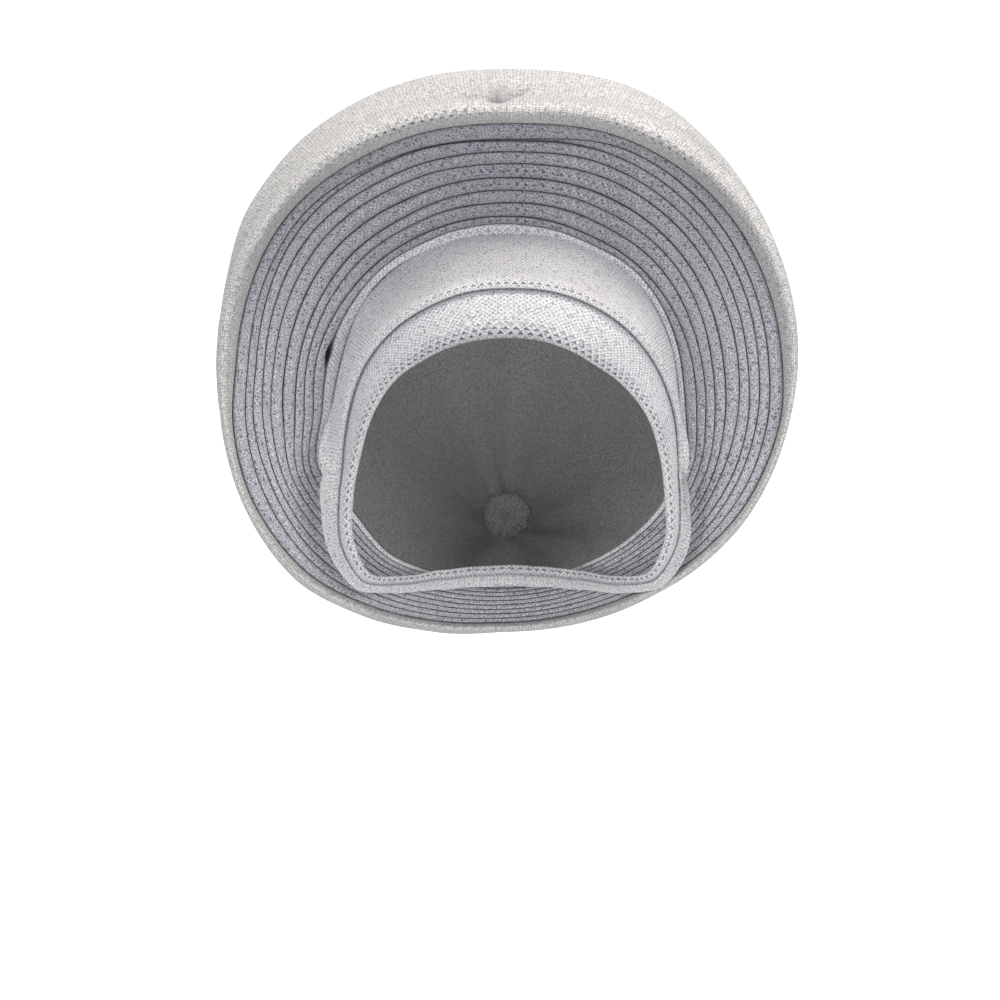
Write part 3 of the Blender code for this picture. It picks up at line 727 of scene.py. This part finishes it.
def crown_rows(angle):
    """The crown cloth's outer face, as rows of points from the hem behind the roll to the back."""
    line, depth = LINES[0](angle) + SECTION_GAP / 2, line_depth(0, angle)
    crest, roll, dip, puff = [ROLL[key](angle) for key in ("crest", "roll", "dip", "puff")]
    crest_y, dip_y, puff_y = [ROLL[key](angle) for key in ("crest_y", "dip_y", "puff_y")]
    places = (
        (line + line_lean(0, angle) * 6.0 + 0.1, depth + 6.0),
        (line + 0.1, depth + 0.8),
        (line + 0.35 * (crest - line), depth + 0.62 * (crest_y - depth)),
        (line + 0.78 * (crest - line), depth + 0.97 * (crest_y - depth)),
        (crest + 0.42 * (roll - crest), crest_y + 0.5),
        (roll, crest_y + 5.0),
        (dip, dip_y),
        (dip + 0.66 * (puff - dip), dip_y + 0.45 * (puff_y - dip_y)),
        (puff, puff_y),
    )
    rows = [from_clock(angle, radius, y) for radius, y in places]
    back_x, back_y, back_z = CROWN_BACK
    start = rows[-1]
    for degrees in CROWN_STEPS:
        t = math.radians(degrees)
        shrink, go = math.cos(t), math.sin(t)
        row = np.empty_like(start)
        row[:, 0] = back_x + (start[:, 0] - back_x) * shrink
        row[:, 1] = start[:, 1] + (back_y - start[:, 1]) * go
        row[:, 2] = back_z + (start[:, 2] - back_z) * shrink
        height = BACK_FOLD_HEIGHT * float(smooth_step((degrees - 20.0) / 45.0)) * min(1.0, 2.4 * shrink)
        wave = height * back_wave(angle, degrees) * (0.75 + 0.25 * np.cos(np.radians(3 * angle)))
        out = np.stack([row[:, 0] - back_x, 0.35 * (row[:, 1] - 20.0), row[:, 2] - back_z], axis=1)
        out /= np.linalg.norm(out, axis=1, keepdims=True)
        rows.append(row + out * wave[:, None])
    return np.stack(rows, axis=1)


# The stitched tuck at the top of the roll and the creases that run from it, in the front view.
TUCK_PLACE = (-4.6, 105.5)
TUCK_CREASES = (
    # x and z from the tuck, half length, half width, slope in degrees, depth
    (0.0, 0.0, 3.0, 1.5, 0.0, 4.2),
    (0.5, 4.5, 4.6, 3.6, 90.0, 2.0),
    (8.5, 3.6, 6.5, 1.3, 27.0, 2.4),
    (-9.5, 1.8, 8.0, 1.3, -9.0, 1.7),
    (-8.5, 6.5, 7.5, 1.9, -40.0, 0.8),
    (9.0, 7.5, 6.5, 1.9, 46.0, 0.7),
    (-27.0, 1.5, 15.0, 2.4, 3.0, 0.6),
    (25.0, 1.2, 15.0, 2.4, -3.0, 0.6),
)


def tuck_depth(grid, ridge=0.4):
    """How deep the tuck and its creases sink, each with a ridge of cloth pushed up behind it."""
    x, z = grid[..., 0] - TUCK_PLACE[0], grid[..., 2] - TUCK_PLACE[1]
    total = 0.0 * x
    for cx, cz, length, width, slope, depth in TUCK_CREASES:
        c, s = math.cos(math.radians(slope)), math.sin(math.radians(slope))
        along, aside = (x - cx) * c + (z - cz) * s, -(x - cx) * s + (z - cz) * c
        profile = bell(aside, width) - ridge * bell(aside - 1.9 * width, 1.2 * width)
        total = total + depth * bell(along, length) * profile
    return total * smooth_step((-30.0 - grid[..., 1]) / 20.0)


def crease_share(angle):
    """How far the crease between the front roll and the puffed cloth behind it opens, round the ring."""
    return near(angle, 58.0, 24.0) + 0.9 * near(angle, -80.0, 21.0)


def crease_depth(angle, place):
    """The crease behind the front roll at both sides, with the roll's edge raised before it."""
    return crease_share(angle) * (2.6 * bell(place - 6.15, 0.34) - 1.1 * bell(place - 4.9, 0.32))


def crown_sheet(angle):
    """The crown's outer face without and with its relief, its normals, and how its rows and the control
    rows match."""
    rows = crown_rows(angle)
    parts = [*CROWN_PARTS] + [BACK_PARTS] * (rows.shape[1] - len(CROWN_PARTS) - 1)
    grid = smooth_rows(rows, parts)
    edges = np.concatenate([[0], np.cumsum(parts)])
    place = np.interp(np.arange(grid.shape[1]), edges, np.arange(rows.shape[1]))
    normal = grid_normals(grid)
    if (normal[:, -20] * (grid[:, -20] - np.array([0.0, 0.0, -20.0]))).sum() < 0:
        normal = -normal
    a = angle[:, None]
    slack = smooth_step((place - 4.5) / 2.0)[None, :]
    swell = 0.55 * uneven(a + 3.0 * place[None, :], 41, (3, 4, 7, 11)) * slack
    swell = swell + 0.30 * uneven(a - 5.0 * place[None, :], 47, (6, 10, 17, 23)) * slack
    relief = swell - tuck_depth(grid) - crease_depth(a, place[None, :])
    return grid, grid + normal * relief[..., None], normal, place, edges


def crown_lining(angle, grid, normal, place):
    """The crown's inner face, steered so that the wall doesn't cross itself in the tight roll."""
    wall = ROLL_WALL + (CROWN_WALL - ROLL_WALL) * smooth_step((place - 4.0) / 5.0)
    steer = np.array(ROLL_LINING, float)
    last = len(steer) - 1
    inward = np.interp(place, np.arange(len(steer)), steer[:, 0])[None, :, None] * from_clock(
        angle, np.ones_like(angle), 0.0)[:, None, :]
    inward[..., 1] = np.interp(place, np.arange(len(steer)), steer[:, 1])[None, :]
    inward /= np.linalg.norm(inward, axis=2, keepdims=True)
    late = smooth_step((place - last + 0.5) / 0.8)[None, :, None]
    inward = inward * (1.0 - late) - normal * late
    return grid + inward * wall[None, :, None]


def crown_marks(angle, flat_grid, place):
    """Open holes below the roll, and the painted shade of the outer face. The lining has neither."""
    a, place = angle[:, None], place[None, :]
    rim_holes = 0.15 + 0.70 * near(a, -24.0, 18.0) + 0.50 * near(a, 36.0, 18.0)
    holes = bell(place - 3.0, 0.75) * rim_holes
    # Painted shade in the tuck and its creases, and in the crease behind the roll.
    sunk_and_painted_shade = 0.20 * np.clip(tuck_depth(flat_grid, 0.0), 0.0, 3.0)
    sunk_and_painted_shade = sunk_and_painted_shade + crease_share(a) * (0.22 * bell(place - 6.35, 0.42))
    # Painted shade on the roll's front face, which looks down away from the lamp above, and over the top
    # behind the crest.
    turned = from_top(a)
    aside = bell(turned - 54.0, 28.0)
    face_end = 3.5 + np.where(off_clock(a, 0.0) < 0.0, 0.3, 0.8) * aside
    face = smooth_step((place - 0.6) / 0.7) * smooth_step((face_end - place) / 1.3)
    upper = smooth_step((place - 3.6) / 1.0) * smooth_step((8.0 - place) / 2.0)
    sunk_and_painted_shade = np.maximum(sunk_and_painted_shade, (0.15 + 0.17 * aside + 0.06 * bell(turned - 115.0, 25.0)) * face)
    sunk_and_painted_shade = np.maximum(sunk_and_painted_shade, 0.12 * bell(turned, 42.0) * upper)
    # Painted shade in the hollows between the gathers at the back.
    degrees = np.interp(place, PUFF_ROW + np.arange(len(CROWN_STEPS) + 1), (0.0, *CROWN_STEPS))
    between = np.clip(-back_wave(a, degrees), 0.0, 1.0) ** 2
    sunk_and_painted_shade = np.maximum(sunk_and_painted_shade, 0.30 * between * smooth_step((degrees - 28.0) / 40.0))
    return {"open": np.stack([holes, 0.0 * holes]), "sunk_and_painted_shade": np.stack([sunk_and_painted_shade, 0.0 * sunk_and_painted_shade])}


def crown_mesh(grid, lining, edges, marks, material):
    """Joins the outer face and the lining at the hem and at the middle of the back."""
    count, length = grid.shape[:2]
    outer_faces, corners = grid_faces(count, length, False)
    inner_faces = grid_faces(count, length, False, count * length)[0][:, ::-1]
    u = along_ring(grid[:, edges[ROLL_ROW]], CROWN_PITCH)
    uv = place_uv(u, across_rows(grid, edges[CREST_ROW]), corners)
    i = np.arange(count)
    j = (i + 1) % count
    under, end = count * length, length - 1
    hem = np.stack([i * length, i * length + under, j * length + under, j * length], -1)
    tip = np.stack([i * length, j * length, j * length + under, i * length + under], -1) + end
    edge_uvs = [np.stack([u[np.stack(ends, -1)], np.zeros((count, 4))], -1)
                for ends in ((i, i, i + 1, i + 1), (i, i + 1, i + 1, i))]
    faces = np.concatenate([outer_faces, inner_faces, hem, tip])
    uvs = np.concatenate([uv, uv[:, ::-1], *edge_uvs])
    points = np.concatenate([grid.reshape(-1, 3), lining.reshape(-1, 3)])
    return make_mesh("crown_wrap_cloth", points, faces, uvs, marks, material)


def add_gather(last_row, material):
    """The small button of cloth that the crown is gathered into, closed to a point."""
    middle = last_row.mean(axis=0)
    button = [last_row] + [
        last_row * share + middle * (1.0 - share) + np.array([0.0, rise, 0.0])
        for share, rise in ((0.45, 1.0), (0.004, 1.2))
    ]
    gather = cloth_ring("crown_gather", np.stack(button, axis=1), material, {})
    thicken(gather, GATHER_CLOTH)
    return gather


def add_crown(material):
    angle = ring_angles(TUCK_CLOCK)
    flat_grid, grid, normal, place, edges = crown_sheet(angle)
    lining = crown_lining(angle, grid, normal, place)
    marks = crown_marks(angle, flat_grid, place)
    piece = crown_mesh(grid, lining, edges, marks, material)
    gather = add_gather(grid[:, -1], material)
    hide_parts("crown_wrap")
    return piece, gather


def band_point(name, angle):
    """The bands' line "edge", "seam" or "outer", kept in front of the fan where it lies beside the neck."""
    a = np.radians(angle)
    reach = BAND[name](angle)
    x = BAND_CENTRE[0] + reach * np.sin(a)
    z = BAND_CENTRE[1] + reach * np.cos(a)
    clock = np.degrees(np.arctan2(x, z))
    front = np.minimum(FAN["inner_y"](clock), FAN["outer_y"](clock)) - BAND_AHEAD[name]
    low = smooth_step((np.abs(clock) - 112.0) / 12.0)
    depth = BAND[name + "_y"](angle)
    if name == "outer":
        meets = at_strip(clock)
        depth = meets * (FAN["inner_y"](clock) + 0.6) + (1.0 - meets) * depth
    depth = depth + low * np.minimum(front - depth, 0.0)
    return np.stack([x, depth, z], axis=1)


def at_strip(clock):
    """1 where the bands run in under the innermost strip, 0 low at the sides and at the nape."""
    return 1.0 - smooth_step((np.abs(clock) - 106.0) / 8.0)


def under_strip(points, deep, below):
    """Carries points of the bands' outer edge on below the strip, where the bands meet it."""
    clock = np.degrees(np.arctan2(points[:, 0], points[:, 2]))
    radius = LINES[-1](clock) + SECTION_GAP / 2 + line_lean(LAST_LINE, clock) * deep - below
    under = from_clock(clock, radius, line_depth(LAST_LINE, clock) + deep)
    meets = at_strip(clock)[:, None]
    short = points + np.array([0.0, 0.4, 0.0])
    return meets * under + (1.0 - meets) * short


def inside_strip(points, start, fade):
    """Keeps the outer edge of the bands inside the innermost line of the fan, up to a clock position."""
    clock = np.degrees(np.arctan2(points[:, 0], points[:, 2]))
    radius = np.hypot(points[:, 0], points[:, 2])
    limit = LINES[-1](clock) - SECTION_GAP
    meets = 1.0 - smooth_step((np.abs(clock) - start) / fade)
    held = np.where(radius > limit, limit + (radius - limit) * (1.0 - meets), radius)
    points = points.copy()
    points[:, 0] *= held / radius
    points[:, 2] *= held / radius
    return points


def band_frame(start, end):
    """Unit directions along the band's width and out of its face."""
    along = end - start
    width = np.linalg.norm(along, axis=1, keepdims=True)
    along = along / width
    tangent = np.roll(start, -1, axis=0) - np.roll(start, 1, axis=0)
    out = np.cross(tangent, along)
    out /= np.linalg.norm(out, axis=1, keepdims=True)
    centre = np.array([BAND_CENTRE[0], 20.0, BAND_CENTRE[1]])
    side = np.sign(((start - centre) * out).sum())
    return along, out * side, width


def add_front_band(material, angle, edge, seam, over, at_nape):
    """The rolled band at the face: a closed section whose hem runs in under the forehead band."""
    along, out, width = band_frame(edge, seam)
    along_over, out_over, width_over = over
    wall = FRONT_BAND_WALL - 1.6 * at_nape
    tuck = np.minimum(BAND_TUCK, 0.3 * width_over) * (1.0 - 0.6 * at_nape)
    bend = out + out_over
    bend /= np.linalg.norm(bend, axis=1, keepdims=True)
    front = [
        edge - out * 0.62 * wall,
        edge + along * 1.2 - out * 0.1 * wall,
        edge + along * 0.45 * width + out * 0.2 * wall,
        seam - bend * 0.05,
        seam + along_over * tuck - out_over * 0.1,
        seam + along_over * tuck - out_over * 0.9 * wall,
        seam - bend * wall,
        edge + along * 0.45 * width - out * wall,
        edge + along * 1.2 - out * 0.97 * wall,
    ]
    grid = smooth_rows(np.stack(front, axis=1), FRONT_BAND_PARTS, closed=True)
    a, rows = angle[:, None], np.arange(grid.shape[1])[None, :]
    hem = bell(rows - 6.0, 4.2) * (0.85 + 0.15 * near(a, 0.0, 40.0))
    # Painted shade over the band near the top of the ring, stronger in the rows round its lower edge.
    low = smooth_step((12.0 - rows) / 7.0)
    painted_shade = 0.20 * near(a, -6.0, 48.0) + 0.20 * low * near(a, 0.0, 50.0)
    marks = {"open": hem, "sunk_and_painted_shade": painted_shade}
    return cloth_ring("front_band_cloth", grid, material, marks, middle=5, closed=True, pitch=BAND_PITCH)


def add_forehead_band(material, angle, seam, over, at_nape):
    """The wide band: a closed section from its rolled hem over the seam to where it runs in at the strip."""
    along, out, width = over
    a = angle[:, None]
    turned = off_clock(a, 0.0)
    wall = FOREHEAD_BAND_WALL - 1.8 * smooth_step((np.abs(turned) - 62.0) / 48.0)
    lift = SECTION_GAP + 0.35 * (1.0 - smooth_step((np.abs(turned) - 70.0) / 25.0))
    tuck = np.minimum(BAND_TUCK + 1.5, 0.4 * width)
    step_in = tuck + np.minimum(2.0, 0.1 * width)
    drop = 2.2 * (1.0 - at_nape)
    level = 3.0 + 1.8 * bell(np.abs(turned) - 72.0, 28.0)
    end_over = level * (1.0 - at_nape) + (lift + 0.8 * wall) * at_nape
    end_under = -1.6 * (1.0 - at_nape) + (lift + 0.2 * wall) * at_nape
    # Each point's way along the band from the seam, and out of its face.
    places = (
        (0.0 * width, lift + 0.5 * wall), (0.05 * width, lift + 0.95 * wall),
        (0.3 * width, lift + 1.15 * wall - 0.3 * drop),
        (0.78 * width, lift + wall - 0.5 * drop),
        (width, end_over), (width - 0.3, end_under),
        (0.68 * width, lift - drop), (step_in, lift - 0.5 * drop), (tuck, lift + 0.0 * width),
        (0.06 * width, lift + 0.05 * wall),
    )
    section = [seam + along * s + out * h for s, h in places]
    section[3:6] = [inside_strip(points, 100.0, 24.0) for points in section[3:6]]
    section[5:5] = [under_strip(section[4], 5.0, 0.6), under_strip(section[5], 5.0, 2.4)]
    grid = smooth_rows(np.stack(section, axis=1), FOREHEAD_BAND_PARTS, closed=True)
    rows, run = np.arange(grid.shape[1])[None, :], across_rows(grid, 0)
    hem = bell(run - 0.5 * BAND_PITCH, 0.8) * (0.3 + 0.7 * near(a, 8.0, 42.0))
    side = smooth_step((np.abs(turned) - 38.0) / 16.0) * smooth_step((rows - 3.0) / 6.0)
    # Painted shadow at the two ends of the seam line.
    hook = bell(rows, 1.4) * (near(a, -118.5, 4.0) + 0.8 * near(a, 117.0, 2.5))
    # Painted shade over the band's upper part, left of the top, under the roll.
    high = smooth_step((run - 2.0) / 9.0) * near(a, -20.0, 44.0)
    # A painted dark line along the band's outer edge where it meets the strip.
    rim = 0.20 * beside(turned, -98.0, 98.0)
    rim = rim + 0.55 * beside(turned, -98.0, -50.0) + 0.20 * beside(turned, 40.0, 90.0)
    rim = rim * bell(rows - 29.6, 1.1)
    # Painted shade over the band near the top, with the seam's painted shadow and the edge's painted line.
    painted_shade = np.maximum(0.8 * hook, 0.20 * near(a, 2.0, 48.0) + 0.20 * high)
    painted_shade = np.maximum(painted_shade, rim)
    ribs = side * smooth_step((34.0 - rows) / 4.0)
    marks = {"open": hem, "ribs": ribs, "sunk_and_painted_shade": painted_shade}
    return cloth_ring("forehead_band_cloth", grid, material, marks, closed=True, pitch=BAND_PITCH,
                      uv_line=grid[:, 18])


def add_bands(material):
    angle = ring_angles()
    edge, seam = band_point("edge", angle), band_point("seam", angle)
    outer = inside_strip(band_point("outer", angle), 119.0, 6.0)
    at_nape = smooth_step((from_top(angle) - 118.0) / 20.0)[:, None]
    over = band_frame(seam, outer)
    front_band = add_front_band(material, angle, edge, seam, over, at_nape)
    forehead = add_forehead_band(material, angle, seam, over, at_nape)
    for piece, node in ((front_band, "front_band"), (forehead, "forehead_band")):
        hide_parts(node)
    return front_band, forehead


# The setting, in metres and watts. The floor is a disc that curves up into a round wall.
FLOOR_Z, WALL_RADIUS, WALL_FILLET, WALL_TOP = -0.62, 4.2, 1.2, 4.6
WALL_SIDES, FILLET_STEPS = 64, 12
AREA_LIGHTS = (
    # name, place, target, width and height, power, colour
    ("key", (0.26, -0.62, 1.22), (0.0, -0.05, 0.0), (0.8, 0.5), 13.6, (1.0, 0.965, 0.92)),
    ("fill", (0.0, -2.0, 0.9), (0.0, 0.0, -0.05), (1.4, 1.4), 1.6, (0.94, 0.95, 1.0)),
    ("side", (-1.15, -1.25, 0.30), (0.0, 0.0, -0.02), (0.7, 0.7), 6.9, (0.98, 0.975, 0.99)),
    ("side", (1.15, -1.25, 0.30), (0.0, 0.0, -0.02), (0.7, 0.7), 8.3, (0.98, 0.975, 0.99)),
)
CAMERA_PLACE = (-0.00336, -1.610, -0.06048)
CAMERA_LENS = 132.86


def add_floor():
    profile = [(r, FLOOR_Z) for r in (0.0, 1.0, 2.0, WALL_RADIUS - WALL_FILLET)]
    for k in range(1, FILLET_STEPS + 1):
        t = math.radians(90.0 * k / FILLET_STEPS)
        profile.append((WALL_RADIUS - WALL_FILLET + WALL_FILLET * math.sin(t),
                        FLOOR_Z + WALL_FILLET - WALL_FILLET * math.cos(t)))
    profile.append((WALL_RADIUS, WALL_TOP))
    turns = [2 * math.pi * i / WALL_SIDES for i in range(WALL_SIDES)]
    points = [(r * math.cos(t), r * math.sin(t), z) for r, z in profile for t in turns]
    faces = []
    for k in range(0, (len(profile) - 1) * WALL_SIDES, WALL_SIDES):
        for i in range(WALL_SIDES):
            j = (i + 1) % WALL_SIDES
            faces.append((k + i, k + j, k + WALL_SIDES + j, k + WALL_SIDES + i))
    mesh = bpy.data.meshes.new("floor")
    mesh.from_pydata(points, [], faces)
    mesh.polygons.foreach_set("use_smooth", np.ones(len(faces), dtype=bool))
    paint, _, shader = new_material("floor_paint")
    shader.inputs["Base Color"].default_value = (0.86, 0.86, 0.87, 1.0)
    shader.inputs["Roughness"].default_value = 0.9
    mesh.materials.append(paint)
    add_object("floor", mesh)


def add_lights():
    def aim(data, place, target):
        lamp = add_object(data.name, data)
        lamp.location = place
        lamp.rotation_euler = (Vector(target) - Vector(place)).to_track_quat("-Z", "Y").to_euler()

    for name, place, target, size, power, colour in AREA_LIGHTS:
        data = bpy.data.lights.new(name, "AREA")
        data.shape = "RECTANGLE"
        data.size, data.size_y = size
        data.energy = power
        data.color = colour
        aim(data, place, target)
    spot = bpy.data.lights.new("backdrop", "SPOT")
    spot.energy = 780.0
    spot.spot_size = math.radians(75.0)
    spot.spot_blend = 0.6
    spot.shadow_soft_size = 0.3
    aim(spot, (0.0, 0.8, 2.6), (0.0, 3.9, -0.1))
    world = bpy.data.worlds.new("sky")
    world.use_nodes = True
    light = world.node_tree.nodes["Background"].inputs
    light["Color"].default_value = (0.93, 0.96, 1.0, 1.0)
    light["Strength"].default_value = 0.43
    bpy.context.scene.world = world
    bpy.context.scene.view_settings.view_transform = "Standard"


def add_camera():
    lens = bpy.data.cameras.new("camera")
    lens.sensor_width = 36.0
    lens.lens = CAMERA_LENS
    lens.clip_end = 50.0
    camera = add_object("camera", lens)
    camera.location = CAMERA_PLACE
    camera.rotation_euler = (math.radians(90.0), 0.0, 0.0)
    bpy.context.scene.camera = camera


def dress():
    crown = knit_material(
        "crown_cloth", light=(0.85, 0.83, 0.795), painted_shade_and_grain=(0.32, 0.31, 0.32), pitch=CROWN_PITCH,
        beads=1.0, depth=0.72, sparkle=0.05, grit=0.4, fineness=1.25,
    )
    # The pleats' cloth is the crown's white knit made darker and bluer: a painted shade for the fan in the
    # roll's shadow.
    pleat = knit_material(
        "pleat_cloth_painted_darker", light=(0.665, 0.665, 0.69), painted_shade_and_grain=(0.21, 0.21, 0.26), pitch=KNIT_PITCH,
        beads=0.5, depth=0.80, sparkle=0.09, grit=2.0,
    )
    band = knit_material(
        "band_cloth", light=(0.93, 0.91, 0.905), painted_shade_and_grain=(0.36, 0.35, 0.41), pitch=BAND_PITCH,
        beads=0.25, depth=0.95, sparkle=0.07, grit=1.2,
    )

    def none(angle):
        return 0.0 * angle

    # How far the sunk pleat stands back across the top, in millimetres.
    def sunk_and_painted_shade(angle):
        return 3.0 * (1.0 - smooth_step((np.abs(off_clock(angle, -8.0)) - 20.0) / 22.0))

    made = [(piece, "crown_knit") for piece in add_crown(crown)]
    for n in range(STRIP):
        node = f"pleat_{n + 1:02d}"
        piece = add_fold(node + "_cloth", n, pleat, sunk_and_painted_shade if n == SUNK_PLEAT else none, node)
        made.append((piece, "pleat_knit"))
    strip = add_fold("inner_strip_cloth", STRIP, band, none, "inner_strip", nose_share=0.22, lean_back=0.15)
    made.append((strip, "band_knit"))
    made += [(piece, "band_knit") for piece in add_bands(band)]
    for piece, slot in made:
        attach(piece, "root")


dress()
add_floor()
add_lights()
add_camera()
